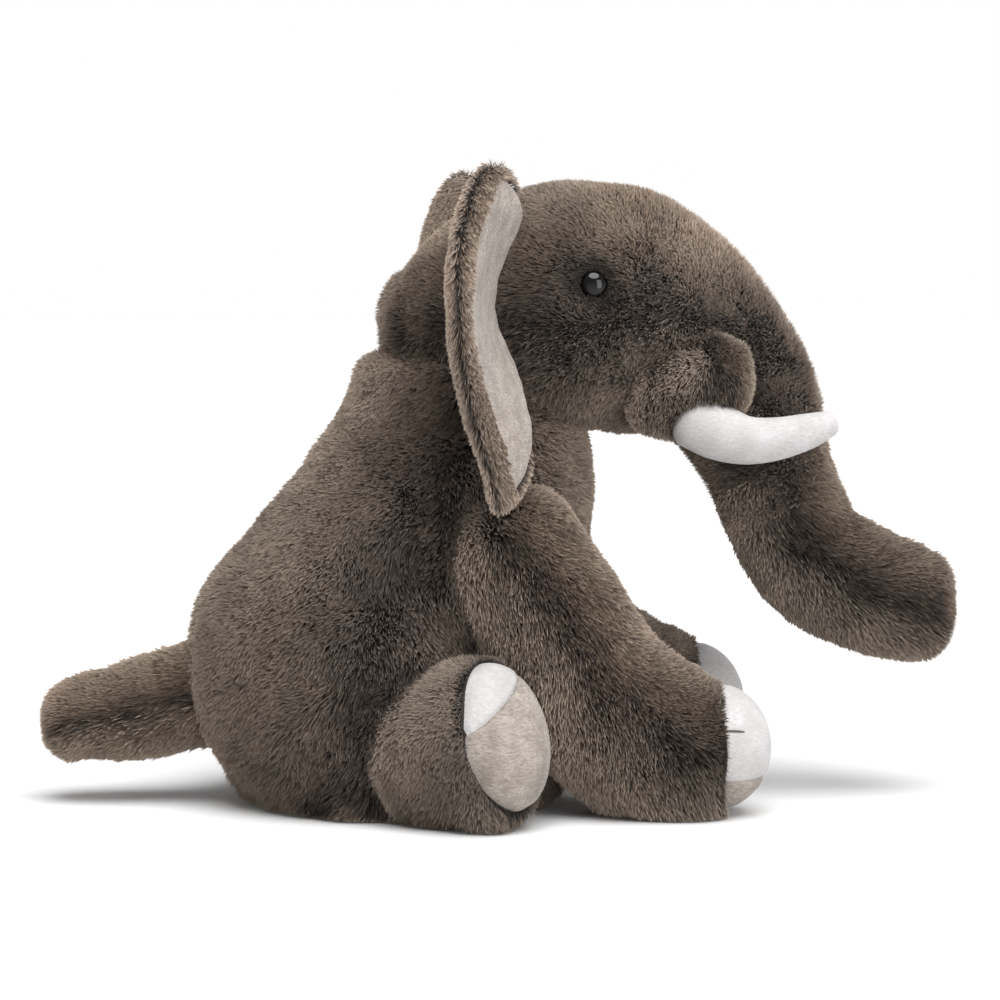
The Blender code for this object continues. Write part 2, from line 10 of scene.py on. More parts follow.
import bpy
import numpy as np
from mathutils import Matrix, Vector


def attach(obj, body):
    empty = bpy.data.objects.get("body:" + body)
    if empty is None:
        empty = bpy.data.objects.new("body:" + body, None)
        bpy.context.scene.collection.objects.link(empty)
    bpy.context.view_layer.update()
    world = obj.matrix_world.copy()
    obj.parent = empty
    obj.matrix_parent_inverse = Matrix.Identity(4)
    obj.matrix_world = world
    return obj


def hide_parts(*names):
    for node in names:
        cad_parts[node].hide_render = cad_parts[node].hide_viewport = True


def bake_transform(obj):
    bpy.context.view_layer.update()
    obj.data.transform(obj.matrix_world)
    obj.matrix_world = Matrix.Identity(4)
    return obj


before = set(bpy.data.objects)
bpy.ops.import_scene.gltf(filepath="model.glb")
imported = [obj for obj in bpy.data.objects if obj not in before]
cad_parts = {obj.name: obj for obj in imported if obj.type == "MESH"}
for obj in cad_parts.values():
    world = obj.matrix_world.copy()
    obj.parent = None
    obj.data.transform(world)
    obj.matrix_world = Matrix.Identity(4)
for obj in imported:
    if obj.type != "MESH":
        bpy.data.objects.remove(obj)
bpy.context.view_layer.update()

# %% [markdown]
# ## Units and curves
# The sewing pattern is written in millimetres and turned to metres once. The frame's origin lies
# under the middle of the toy's box, a little in front of the pattern's own middle, so every place
# gets the same shift.

# %% Units and curves
MM = 0.001
PATTERN_SHIFT = np.array([-1.6, 0.0, 0.0])
SIDES = {"right": 1, "left": -1}


def unit(vectors):
    """Each vector divided by its own length."""
    return vectors / np.maximum(np.linalg.norm(vectors, axis=-1, keepdims=True), 1e-12)


def place(x, y, z):
    """A point of the pattern, in millimetres, as metres in the frame."""
    return (np.array([x, y, z], float) + PATTERN_SHIFT) * MM


def smooth_rows(rows, count, closed=False):
    """Catmull-Rom curve through the rows, read at evenly spaced values of the row number.

    Between rows b and c, with neighbours a and d, the value at t is
    b + t(c-a)/2 + t^2(a - 5b/2 + 2c - d/2) + t^3(3(b-c) + d - a)/2.
    """
    rows = np.array(rows, float)
    total = len(rows)
    position = np.linspace(0, total if closed else total - 1, count, endpoint=not closed)
    span = np.minimum(position.astype(int), total - 1 if closed else total - 2)
    t = (position - span)[:, None]
    four = [(span + k) % total if closed else np.clip(span + k, 0, total - 1) for k in (-1, 0, 1, 2)]
    a, b, c, d = (rows[index] for index in four)
    curve = b + 0.5 * t * (c - a) + t**2 * (a - 2.5 * b + 2 * c - 0.5 * d)
    return curve + t**3 * (1.5 * (b - c) + 0.5 * (d - a))


# %% [markdown]
# ## The sack
# A stuffed limb is a tube of fabric pulled tight by its filling, with rounded ends. It could be
# sculpted by hand, but numbers are easier to change: an oval section is carried along a bent path,
# and quarter ovals close the ends.

# %% Sections and sacks
DOME_RINGS = 10


def sections(rows, along, splay=0.0, side=1):
    """Centre, heading, upward and sideways directions, and half sizes of the oval sections.

    A row is x, y, z, pitch in degrees, half height, half width. The heading is level and turned by
    the splay, then raised by the pitch; upward is square to it, in the same upright plane.
    """
    body = smooth_rows(rows, along)
    pitch = np.radians(body[:, 3:4])
    turn = math.radians(splay * side)
    level = np.array([math.cos(turn), math.sin(turn), 0.0])
    rise = np.array([0.0, 0.0, 1.0])
    return {
        "centre": (body[:, :3] * [1, side, 1] + PATTERN_SHIFT) * MM,
        "heading": np.cos(pitch) * level + np.sin(pitch) * rise,
        "upward": np.cos(pitch) * rise - np.sin(pitch) * level,
        "sideways": np.array([-math.sin(turn), math.cos(turn), 0.0]) * np.ones((along, 1)),
        "half": body[:, 4:6] * MM,
    }


def sack(rows, start_dome, end_dome, splay=0.0, side=1, along=52, around=72):
    """Grid of points on a stuffed tube, with the sections it was made from.

    With centre c, heading h, up u and sideways s, a point is
    c + f*h + k*(height*cos(v)*u + width*sin(v)*s), with v going once round. On the tube f = 0 and
    k = 1; on a dome of length L, f = L*sin(w) and k = cos(w).
    """
    cut = sections(rows, along, splay, side)
    ease = np.linspace(0, math.pi / 2, DOME_RINGS + 2)[1:-1]
    ends = [np.zeros(DOME_RINGS, int), np.full(DOME_RINGS, along - 1)]
    station = np.concatenate([ends[0], np.arange(along), ends[1]])
    forward = np.concatenate([-np.sin(ease[::-1]) * start_dome, np.zeros(along), np.sin(ease) * end_dome])
    share = np.concatenate([np.cos(ease[::-1]), np.ones(along), np.cos(ease)])
    centre, heading, upward, sideways, half = (cut[key][station] for key in cut)
    angle = np.linspace(0, 2 * math.pi, around, endpoint=False)
    oval = np.cos(angle)[None, :, None] * (upward * half[:, :1])[:, None]
    oval = oval + np.sin(angle)[None, :, None] * (sideways * half[:, 1:])[:, None]
    middle = centre + heading * (forward * MM)[:, None]
    tips = [(0, -start_dome), (-1, end_dome)]
    return {
        "points": middle[:, None] + oval * share[:, None, None],
        "poles": np.array([cut["centre"][k] + cut["heading"][k] * reach * MM for k, reach in tips]),
        "cut": cut,
    }


def outward(points):
    """Unit normals of a grid that closes round its second index, pointing away from the middle."""
    along = np.gradient(points, axis=0)
    around = (np.roll(points, -1, axis=1) - np.roll(points, 1, axis=1)) / 2
    normals = unit(np.cross(along, around))
    away = points - points.mean((0, 1), keepdims=True)
    ring_away = points - points.mean(1, keepdims=True)
    score = (ring_away * normals).sum(-1).mean() + 0.01 * (away * normals).sum(-1).mean()
    return normals * np.sign(score)


def press(surface, centre, radius, depth):
    """Dent the surface, or swell it where depth is negative.

    Points move in along their normals by depth * exp(-(distance/radius)^2).
    """
    points = surface["points"]
    distance = np.linalg.norm(points - place(*centre), axis=-1) / (radius * MM)
    amount = depth * MM * np.exp(-(distance**2))
    surface["points"] = points - outward(points) * amount[..., None]


def inside(surface, points, margin):
    """Whether points lie deeper than the margin inside a sack.

    A point is inside where, for some section, the squares of its distances up, sideways and along,
    each divided by that section's half size less the margin, add up to less than one.
    """
    cut = surface["cut"]
    step = np.linalg.norm(np.gradient(cut["centre"], axis=0), axis=-1).max() * 1.5
    found = np.zeros(points.shape[:-1], bool)
    for centre, heading, upward, sideways, half in zip(*(cut[key] for key in cut)):
        offset = points - centre
        reach = np.maximum(half - margin * MM, 1e-4)
        spread = ((offset @ upward) / reach[0]) ** 2 + ((offset @ sideways) / reach[1]) ** 2
        found |= spread + ((offset @ heading) / step) ** 2 < 1
    return found


# %% [markdown]
# ## Meshes
# numpy works out whole grids of points, and these helpers turn a grid into a closed mesh whose
# faces look outwards. A sheet gets a back side as well, so that it is real fabric with an edge.

# %% Mesh helpers


def new_piece(name, vertices, faces, material=None, smooth=True):
    """Object at the origin, with its place in its mesh."""
    mesh = bpy.data.meshes.new(name)
    mesh.from_pydata(np.asarray(vertices).tolist(), [], faces)
    mesh.update()
    if smooth:
        mesh.shade_smooth()
    if material is not None:
        mesh.materials.append(material)
    piece = bpy.data.objects.new(name, mesh)
    bpy.context.scene.collection.objects.link(piece)
    return piece


def signed_volume(vertices, faces):
    """Volume of a closed mesh: the sum of a . (b x c) / 6 over its triangles, below zero if inside out."""
    total = 0.0
    for size in (3, 4):
        group = np.array([face for face in faces if len(face) == size], int)
        for corner in range(1, size - 1 if len(group) else 1):
            a, b, c = vertices[group[:, 0]], vertices[group[:, corner]], vertices[group[:, corner + 1]]
            total += (a * np.cross(b, c)).sum() / 6
    return total


def closed_piece(name, surface, material):
    """Mesh of a sack: four-sided faces along the tube and a fan at each pole."""
    points, poles = surface["points"], surface["poles"]
    rings, count = points.shape[:2]
    index = np.arange(rings * count).reshape(rings, count)
    after = np.roll(index, -1, axis=1)
    sides = np.stack([index[:-1], index[1:], after[1:], after[:-1]], -1).reshape(-1, 4)
    first = np.stack([after[0], np.full(count, rings * count), index[0]], -1)
    last = np.stack([index[-1], np.full(count, rings * count + 1), after[-1]], -1)
    vertices = np.concatenate([points.reshape(-1, 3), poles])
    faces = [*sides.tolist(), *first.tolist(), *last.tolist()]
    if signed_volume(vertices, faces) < 0:
        faces = [face[::-1] for face in faces]
    return new_piece(name, vertices, faces, material)


def sheet_piece(name, front, thickness, material, closed=False):
    """Mesh of a fabric sheet: the front grid, the same grid moved back, and a rim between them."""
    rows, count = front.shape[:2]
    along = np.gradient(front, axis=0)
    if closed:
        across = (np.roll(front, -1, axis=1) - np.roll(front, 1, axis=1)) / 2
    else:
        across = np.gradient(front, axis=1)
    back = front - unit(np.cross(along, across)) * thickness * MM
    index = np.arange(rows * count).reshape(rows, count)
    after = np.roll(index, -1, axis=1)
    near, far = (index, after) if closed else (index[:, :-1], index[:, 1:])
    top = np.stack([near[:-1], near[1:], far[1:], far[:-1]], -1).reshape(-1, 4)
    under = top[:, ::-1] + rows * count
    rims = []
    for line_near, line_far in ((near[0], far[0]), (far[-1], near[-1])):
        rims.append(np.stack([line_near, line_far, line_far + rows * count, line_near + rows * count], -1))
    if not closed:
        for line in (index[::-1, 0], index[:, -1]):
            below = line + rows * count
            rims.append(np.stack([line[:-1], line[1:], below[1:], below[:-1]], -1))
    faces = np.concatenate([top, under, *rims])
    vertices = np.concatenate([front.reshape(-1, 3), back.reshape(-1, 3)])
    faces = faces.tolist()
    if signed_volume(vertices, faces) < 0:
        faces = [face[::-1] for face in faces]
    return new_piece(name, vertices, faces, material)


# %% [markdown]
# ## Soft noise
# Pile never lies even: neighbouring hairs lean together in tufts. A lattice of random vectors, read
# with smooth steps between its corners, gives a direction that changes slowly from hair to hair.

# %% Noise
LATTICE = 32
NOISE_ORIGIN = 1000.0


def noise(points, scale, seed, channels=3):
    """Value noise from -1 to 1 with cells of a size in millimetres.

    The eight corners of a cell are mixed with weights s = 3t^2 - 2t^3 along each axis.
    """
    table = np.random.default_rng(seed).uniform(-1, 1, (LATTICE,) * 3 + (channels,))
    cell = points / (scale * MM) + NOISE_ORIGIN
    low = np.floor(cell).astype(int)
    t = cell - low
    s = t * t * (3 - 2 * t)
    total = np.zeros(points.shape[:-1] + (channels,))
    for corner in range(8):
        step = np.array([corner & 1, corner >> 1 & 1, corner >> 2 & 1])
        weight = np.prod(np.where(step, s, 1 - s), axis=-1)
        i, j, k = np.moveaxis((low + step) % LATTICE, -1, 0)
        total += weight[..., None] * table[i, j, k]
    return total


def lumpy(surface, seed, amount=1.2, scale=30):
    """Uneven filling: every point moves along its normal by a slow noise."""
    points = surface["points"]
    surface["points"] = points + outward(points) * noise(points, scale, seed, 1) * amount * MM


# %% [markdown]
# ## Colours and node helpers
# Colours are written as sRGB hex values, and turned to linear light once.

# %% Material helpers


def linear(hex_colour):
    """sRGB hex to linear RGBA: ((c + 0.055)/1.055)^2.4, or c/12.92 near black."""
    c = np.array([int(hex_colour[i : i + 2], 16) / 255 for i in (0, 2, 4)])
    light = np.where(c > 0.04045, ((c + 0.055) / 1.055) ** 2.4, c / 12.92)
    return (*light.tolist(), 1.0)


def add_node(tree, kind, links=(), settings=(), **inputs):
    """A node with its settings, its input values and its incoming links (socket, node, output)."""
    node = tree.nodes.new(kind)
    for key, value in dict(settings).items():
        setattr(node, key, value)
    for key, value in inputs.items():
        node.inputs[key.replace("_", " ")].default_value = value
    for socket, source, output in links:
        tree.links.new(source.outputs[output], node.inputs[socket])
    return node


def set_stops(node, stops):
    """Colour ramp stops from (position, hex) pairs."""
    elements = node.color_ramp.elements
    while len(elements) < len(stops):
        elements.new(0.5)
    for element, (position, colour) in zip(elements, stops):
        element.position = position
        element.color = linear(colour)


def new_material(name, roughness, sheen=0.0, ior=1.5):
    """Principled material with even roughness, sheen and IOR set on its own sockets."""
    material = bpy.data.materials.new(name)
    material.use_nodes = True
    shader = material.node_tree.nodes["Principled BSDF"]
    shader.inputs["Roughness"].default_value = roughness
    shader.inputs["IOR"].default_value = ior
    shader.inputs["Sheen Weight"].default_value = sheen
    shader.inputs["Sheen Roughness"].default_value = 0.4
    return material, material.node_tree, shader


# %% [markdown]
# ## Long-pile plush
# Faux fur is a knitted backing with acrylic hairs, dark near the backing and paler at the tip,
# which is why the coat looks frosted where light reaches the tips and nearly black in its folds.
# Each hair here carries how far along it a point is, and the material reads that for the colour, so
# the frosting stays right however the hair lies.

# %% Pile and backing
PILE_STOPS = [(0.0, "1D1814"), (0.35, "453B34"), (0.7, "786A5E"), (1.0, "AD9D8E")]


def pile_material(name, stops):
    """Hair colour from root to tip, with each tuft a little lighter or darker, and with painted light and
    painted shade where the tuft value carries them.
    """
    material, tree, shader = new_material(name, roughness=0.8, sheen=0.1)
    hair = add_node(tree, "ShaderNodeAttribute", settings={"attribute_name": "hair"})
    colour = add_node(tree, "ShaderNodeValToRGB", [("Fac", hair, "Fac")])
    set_stops(colour, stops)
    # the tuft attribute carries the tufts' random shade together with painted light and painted shade
    tuft = add_node(tree, "ShaderNodeAttribute", settings={"attribute_name": "tuft"})
    shade = add_node(tree, "ShaderNodeHueSaturation", [("Value", tuft, "Fac"), ("Color", colour, "Color")])
    tree.links.new(shade.outputs["Color"], shader.inputs["Base Color"])
    return material


def knit_material(name, dark, light, loop):
    """Knitted backing: rows of loops as wide as given, dark between them."""
    material, tree, shader = new_material(name, roughness=0.95)
    where = add_node(tree, "ShaderNodeTexCoord")
    loops = add_node(
        tree, "ShaderNodeTexVoronoi", [("Vector", where, "Object")], Scale=1 / (loop * MM)
    )
    colour = add_node(tree, "ShaderNodeValToRGB", [("Fac", loops, "Distance")])
    set_stops(colour, [(0.1, light), (0.7, dark)])
    tree.links.new(colour.outputs["Color"], shader.inputs["Base Color"])
    return material


pile = pile_material("acrylic_long_pile", PILE_STOPS)
backing = knit_material("knitted_backing", "241F1B", "3A332D", loop=1.2)

# %% [markdown]
# ## Growing the pile
# A hair is a narrow bent blade of two triangles: it leaves the backing steeply, then lies the way
# the coat was brushed. Particle hair would be quicker to set up, but it doesn't survive an export,
# so the blades are real mesh. They are spread evenly by picking grid cells in proportion to area.

# %% Hair blades
BLADE_FACES = np.array([[0, 1, 2], [0, 2, 3]])
BLADE_HEIGHT = np.array([0, 0, 0.55, 1], np.float32)
BLADE_CELL = np.array([[0.15, 0.1], [0.85, 0.1], [0.7, 0.55], [0.5, 0.9]])
HAIR_WIDTH = 0.34
FLOOR_GAP = 0.25 * MM
HAIRS_PER_PIECE = 96000
PILE_SHARE = 1.0


def spread(surface, count, rng, cull):
    """Points, normals and path directions, spread evenly over the part of a sack that is seen."""
    points = surface["points"]
    normals = outward(points)
    path = unit(np.gradient(points, axis=0))
    after = np.roll(points, -1, axis=1)
    area = np.linalg.norm(np.cross(points[1:] - points[:-1], after[:-1] - points[:-1]), axis=-1)
    seen = ~cull(points[:-1]) if cull else np.ones(area.shape, bool)
    chance = (area * seen).ravel()
    cell = rng.choice(chance.size, size=count, p=chance / chance.sum())
    i, j = np.divmod(cell, points.shape[1])
    j2 = (j + 1) % points.shape[1]
    a, b = rng.random((2, count, 1))

    def mixed(grid):
        low = grid[i, j] * (1 - b) + grid[i, j2] * b
        high = grid[i + 1, j] * (1 - b) + grid[i + 1, j2] * b
        return low * (1 - a) + high * a

    return mixed(points), unit(mixed(normals)), unit(mixed(path))


def grow_pile(
    name, surface, count, brush, length=6.8, lean=0.6, follow=0.0, cull=None, trim=None, painted_light_tone=1.0
):
    """Hair pieces on a sack, cut into several pieces from the floor upwards.

    With normal n, brushing b flattened onto the surface (plus follow times the path's direction),
    tuft noise q and a small random e, a hair starts along n + lean*b/2 + q/2 + e and ends along
    n + 2*lean*b + q + 3e/2. trim gives each root a share of the length and a shade, which is painted
    light and shade where the rule paints it, and the tone is painted light over the whole piece: the
    one plush made paler or darker part by part.
    """
    seed = sum(map(ord, name)) * 7
    rng = np.random.default_rng(seed)
    root, normal, path = spread(surface, int(count * PILE_SHARE), rng, cull)
    order = np.argsort(root[:, 2])
    root, normal, path = root[order], normal[order], path[order]
    amount = len(root)
    brushed = unit(np.array(brush, float)) + follow * path
    brushed -= (brushed * normal).sum(-1, keepdims=True) * normal
    tuft = 0.5 * noise(root, 28, seed) + 0.55 * noise(root, 11, seed + 1) + 0.26 * noise(root, 4, seed + 2)
    loose = rng.normal(0, 0.13, (amount, 3))
    first = unit(normal + 0.5 * lean * brushed + 0.5 * tuft + loose)
    second = unit(normal + 2.0 * lean * brushed + 1.1 * tuft + 1.5 * loose)
    share, painted_light_here = trim(root) if trim else (1.0, 1.0)
    size = length * MM * rng.uniform(0.7, 1.1, amount) * share
    size = (size * (1 + 0.15 * noise(root, 14, seed + 3, 1)[:, 0]))[:, None]
    middle = root + first * size * 0.55
    tip = middle + second * size * 0.45
    facing = unit(normal + rng.normal(0, 0.5, (amount, 3)))
    across = unit(np.cross(first, facing)) * HAIR_WIDTH * MM * rng.uniform(0.7, 1.2, (amount, 1))
    blades = np.stack([root - across / 2, root + across / 2, middle + across * 0.4, tip], 1)
    blades[..., 2] = np.maximum(blades[..., 2], FLOOR_GAP)
    # painted light: each piece's tone and the trim rule's shade paint light and shade over the tufts'
    # random shade
    shade = painted_light_tone + 0.2 * noise(root, 26, seed + 4, 1)[:, 0] + 0.18 * noise(root, 8, seed + 5, 1)[:, 0]
    shade = np.clip((shade + rng.normal(0, 0.08, amount)) * painted_light_here, 0.2, 2.0)
    parts = math.ceil(amount / HAIRS_PER_PIECE)
    edges = np.linspace(0, amount, parts + 1).astype(int)
    pieces = []
    for number, (low, high) in enumerate(zip(edges, edges[1:])):
        piece_name = f"{name}_{number}" if parts > 1 else name
        pieces.append(blade_piece(piece_name, blades[low:high], shade[low:high]))
    print(name, amount, "hairs in", parts, "pieces")
    return pieces


def blade_piece(name, blades, shade):
    """Object made of blades, with the place along the hair, the tuft's shade with its painted light and
    shade, and one bake cell each.
    """
    amount = len(blades)
    faces = (np.arange(amount)[:, None, None] * 4 + BLADE_FACES).reshape(-1, 3)
    mesh = bpy.data.meshes.new(name)
    mesh.vertices.add(amount * 4)
    mesh.vertices.foreach_set("co", blades.astype(np.float32).ravel())
    mesh.loops.add(faces.size)
    mesh.loops.foreach_set("vertex_index", faces.astype(np.int32).ravel())
    mesh.polygons.add(len(faces))
    mesh.polygons.foreach_set("loop_start", np.arange(0, faces.size, 3, dtype=np.int32))
    mesh.update(calc_edges=True)
    mesh.shade_smooth()
    hair = np.tile(BLADE_HEIGHT, amount)
    mesh.attributes.new("hair", "FLOAT", "POINT").data.foreach_set("value", hair)
    tuft = np.repeat(shade.astype(np.float32), 4)
    mesh.attributes.new("tuft", "FLOAT", "POINT").data.foreach_set("value", tuft)
    cells = math.ceil(math.sqrt(amount))
    corner = np.stack(np.divmod(np.arange(amount), cells), -1)[:, None]
    uv = ((corner + BLADE_CELL) / cells)[:, BLADE_FACES.ravel()]
    layer = mesh.uv_layers.new(name="OFBake")
    layer.data.foreach_set("uv", uv.astype(np.float32).ravel())
    mesh.materials.append(pile)
    piece = bpy.data.objects.new(name, mesh)
    bpy.context.scene.collection.objects.link(piece)
    return piece


# %% [markdown]
# ## Joining pieces to the bodies
# A cover that is sewn across a joint has its place baked into its mesh, and so do its hairs; a
# cover on one body rides on it.

# %% Joining pieces


for side_name, side in SIDES.items():
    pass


def sew(pieces, seam=None, body=None):
    """Bake a piece's place into its mesh where a seam is named, or let it ride on one body."""
    for piece in pieces:
        if seam is None:
            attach(piece, body)
        else:
            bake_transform(piece)


# %% [markdown]
# ## The pattern
# All the covers are laid out first, because the pile is left out where one cover lies inside
# another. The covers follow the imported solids, mostly to within a few millimetres.

# %% Pattern rows
BODY_ROWS = [
    (-39, 0, 1, 90, 46, 55),
    (-41.5, 0, 7, 90, 60.5, 65),
    (-44.5, 0, 22, 90, 72, 72),
    (-48, 0, 46, 90, 80, 75),
    (-47, 0, 68, 90, 79.5, 74),
    (-42.5, 0, 92, 90, 76, 70),
    (-34.5, 0, 112, 90, 68, 66),
    (-24, 0, 136, 90, 59, 59),
    (-17.5, 0, 160, 90, 48.5, 51),
    (-17, 0, 180, 90, 39.5, 42),
]
HEAD_ROWS = [
    (-38, 0, 200, 0, 20, 29),
    (-25, 0, 203, 0, 33, 44),
    (0, 0, 206, 0, 45.5, 53),
    (25, 0, 208.5, -4, 49.5, 56),
    (50, 0, 209, -12, 48, 52.5),
    (70, 0, 199.5, -25, 43, 43),
    (88, 0, 187, -42, 36, 34),
    (102, 0, 172.5, -56, 30, 27.5),
    (111.5, 0, 155, -64, 26, 24.5),
    (117, 0, 139, -66, 23, 22),
    (120.5, 0, 127, -66, 21, 20.5),
]
TIP_ROWS = [
    (116.5, 0, 139, -66, 21, 20.5),
    (121, 0, 126, -65, 21, 20.5),
    (126.5, 0, 113.5, -61, 22, 20.5),
    (134, 0, 102.5, -48, 22.5, 21),
    (146, 0, 93.5, -33, 22.5, 21.5),
    (160, 0, 87.5, -25, 21.5, 21),
    (173, 0, 83, -16, 20.5, 19),
    (182.5, 0, 80.5, -2, 18.5, 16.5),
]
CHEEK_ROWS = [
    (62, -33, 173, -10, 13, 10),
    (73, -35, 176, -10, 18, 13.5),
    (83, -36.5, 178.5, -10, 18.5, 14.5),
    (93, -37.5, 179, -10, 14.5, 12),
]
TUSK_ROWS = [
    (79, -44, 163, -34, 12, 11),
    (89, -46, 158.3, -24, 11.8, 10.8),
    (101, -47.5, 155, -4, 10, 9.5),
    (114, -48, 156, 10, 8.8, 8.5),
    (126, -48, 159, 17, 7.4, 7),
    (134, -47.5, 161.8, 22, 5.6, 5.6),
]
ARM_ROWS = [
    (0, -46, 106, -48, 30, 26),
    (20, -49, 79, -48, 28.5, 26),
    (36, -52, 49.5, -40, 30.5, 25.5),
    (60, -54, 33, -22, 29.5, 25.5),
    (85, -55, 28.5, 0, 26.5, 24.5),
]
LEG_ROWS = [
    (-31, -66, 31, 0, 26, 24),
    (-18, -76, 33.5, 8, 29.5, 25.5),
    (-6, -88, 37.5, 16, 31, 26),
]
TAIL_ROWS = [
    (-112, 0, 46, 188, 19, 17),
    (-134, 0, 43.5, 190, 18, 16),
    (-159, 0, 38, 194, 15.5, 14.5),
    (-181, 0, 33.5, 196, 12, 12),
]
LEG_SPLAY = -38
ARM_FOOT_DOME = 24
LEG_FOOT_DOME = 16
FOOT_CORE = 0.6
ARM_RAISED = {"right": 0, "left": 3}
SHOULDER = (0, 106)


def raised(rows, pivot, degrees):
    """Rows turned up about a pivot in the plane of X and Z."""
    cos, sin = math.cos(math.radians(degrees)), math.sin(math.radians(degrees))
    table = np.array(rows, float)
    x, z = table[:, 0] - pivot[0], table[:, 2] - pivot[1]
    table[:, 0], table[:, 2] = pivot[0] + cos * x - sin * z, pivot[1] + sin * x + cos * z
    table[:, 3] += degrees
    return table


# %% Lay out the covers
covers = {
    "body": sack(BODY_ROWS, 1, 10, along=64, around=96),
    "head": sack(HEAD_ROWS, 8, 8, along=72, around=84),
    "trunk_tip": sack(TIP_ROWS, 6, 9),
    "tail": sack(TAIL_ROWS, 15, 8, along=32, around=48),
}
for side_name, side in SIDES.items():
    arm_rows = raised(ARM_ROWS, SHOULDER, ARM_RAISED[side_name])
    covers[f"arm_{side_name}"] = sack(arm_rows, 27, ARM_FOOT_DOME * FOOT_CORE, side=side)
    covers[f"leg_{side_name}"] = sack(
        LEG_ROWS, 24, LEG_FOOT_DOME * FOOT_CORE, splay=LEG_SPLAY, side=side, along=32
    )
    covers[f"cheek_{side_name}"] = sack(CHEEK_ROWS, 7, 7, side=side, along=24, around=48)
    covers[f"tusk_{side_name}"] = sack(TUSK_ROWS, 8, 4, side=side, along=48, around=40)

# %% [markdown]
# ## Folds and uneven filling
# Hand-stuffed toys are never even. The seams pull the fabric in, and the filling swells between
# them. Cloth simulation could find such folds, but under a deep pile only the broad hollows show,
# so they are pressed into the covers one by one.

# %% Press the folds in
for side in (1, -1):
    press(covers["body"], (-12, -76 * side, 68), 18, 14)
    press(covers["body"], (-30, -80 * side, 84), 16, 4)
    press(covers["body"], (-58, -72 * side, 104), 26, 2.5)
    press(covers["body"], (-62, -74 * side, 58), 30, -3)
    press(covers["body"], (6, -58 * side, 134), 16, 3)
    press(covers["head"], (57, -50 * side, 184), 9, 6)
    press(covers["head"], (61, -46 * side, 170), 9, 4)
    press(covers["head"], (34, -56 * side, 220.5), 12, 3)
    press(covers["head"], (70, -42 * side, 205), 16, -1.5)
for number, (name, surface) in enumerate(covers.items()):
    if not name.startswith("tusk"):
        lumpy(surface, seed=40 + number, amount=1.0, scale=26)
print("laid out", len(covers), "covers")

# %% [markdown]
# ## Body
# The body is a pear: wide where it sits on its bag of pellets, drawn in at the neck. Its coat was
# brushed down and back. No pile grows where a limb or the head covers it.

# %% Body
COVERED = 8


def hidden_by(*names):
    """Rule that leaves pile out where a point lies well inside any of the named covers."""

    def cull(points):
        found = np.zeros(points.shape[:-1], bool)
        for name in names:
            found |= inside(covers[name], points, COVERED)
        return found

    return cull


def flop(root):
    """Share of length and shade on the body: the pile is squeezed out long where it meets the floor."""
    return 1 + np.exp(-((root[:, 2] / (12 * MM)) ** 2)), np.ones(len(root))


body_cover = closed_piece("body_cover", covers["body"], backing)
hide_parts("torso_skin", "torso_stuffing", "seat_pellet_bag")
sew([body_cover], seam="neck")
limbs = ("head", "tail", "arm_right", "arm_left", "leg_right", "leg_left")
hairs = grow_pile(
    "body_pile", covers["body"], 264000, (-0.35, 0, -1), cull=hidden_by(*limbs), trim=flop, painted_light_tone=1.05
)
sew(hairs, seam="neck")

# %% [markdown]
# ## Head and upper trunk
# One sack runs from the back of the head over the forehead and down the trunk, because on the toy
# the forehead runs into the trunk without a step. The pile is clipped and dark round the eyes, made
# paler towards the crown as painted light, and darker beside the ear as painted shade.

# %% Head and upper trunk
EYE_AT = (34, 220.5)
EYE_RADIUS = 5.8
head_points, head_normals = covers["head"]["points"], outward(covers["head"]["points"])
eyes = {}
for side_name, side in SIDES.items():
    wanted = place(EYE_AT[0], -60 * side, EYE_AT[1])
    distance = np.linalg.norm((head_points - wanted) * [1, 0.15, 1], axis=-1)
    distance += np.where(head_points[..., 1] * side < 0, 0, 1)
    nearest = np.unravel_index(distance.argmin(), distance.shape)
    eyes[side_name] = (head_points[nearest], head_normals[nearest])
print("right eye at", np.round(eyes["right"][0] / MM, 1))


def eye_trim_and_painted_light(root):
    """Share of hair length and shade: clipped and dark round the eyes, paler on the crown as painted light,
    and darker beside the ear as painted shade.
    """
    gaps = [np.linalg.norm(root - eye, axis=-1) / MM for eye, _ in eyes.values()]
    ease = np.clip((np.minimum(*gaps) - EYE_RADIUS) / 9, 0, 1)
    share = np.where(np.minimum(*gaps) < EYE_RADIUS - 0.5, 0.05, 0.45 + 0.55 * ease)
    # painted light: the pile is made paler towards the crown, where the overhead light falls
    painted_crown_light = np.interp(root[:, 2] / MM, [205, 245], [0.88, 1.25])
    # painted shade: the side of the head by the ear is made darker, where the ear shades it
    painted_ear_shade = np.interp(root[:, 0] / MM, [-5, 5, 25, 45], [1.0, 0.78, 0.85, 1.0])
    return share, (0.25 + 0.75 * np.clip(ease * 1.2, 0, 1)) * painted_crown_light * painted_ear_shade


head_cover = closed_piece("head_cover", covers["head"], backing)
washers = [f"eye_washer_{side_name}" for side_name in SIDES]
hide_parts("head_skin", "head_stuffing", "trunk_skin", "trunk_stuffing", *washers)
sew([head_cover], seam="trunk_root")
hidden = hidden_by("body", "cheek_right", "cheek_left")
hairs = grow_pile(
    "head_pile", covers["head"], 174000, (-1, 0, -0.1), length=5.9, cull=hidden, trim=eye_trim_and_painted_light,
    painted_light_tone=1.1,
)
sew(hairs, seam="trunk_root")

# %% [markdown]
# ## Trunk tip
# The lower trunk curls out and ends blunt, with longer pile that hangs past its end.

# %% Trunk tip
tip_cover = closed_piece("trunk_tip_cover", covers["trunk_tip"], backing)
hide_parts("trunk_tip_skin", "trunk_tip_stuffing")
sew([tip_cover], seam="trunk_fold")
hairs = grow_pile("trunk_tip_pile", covers["trunk_tip"], 64000, (0.6, 0, -0.6), length=7.5, follow=0.6)
sew(hairs, seam="trunk_fold")

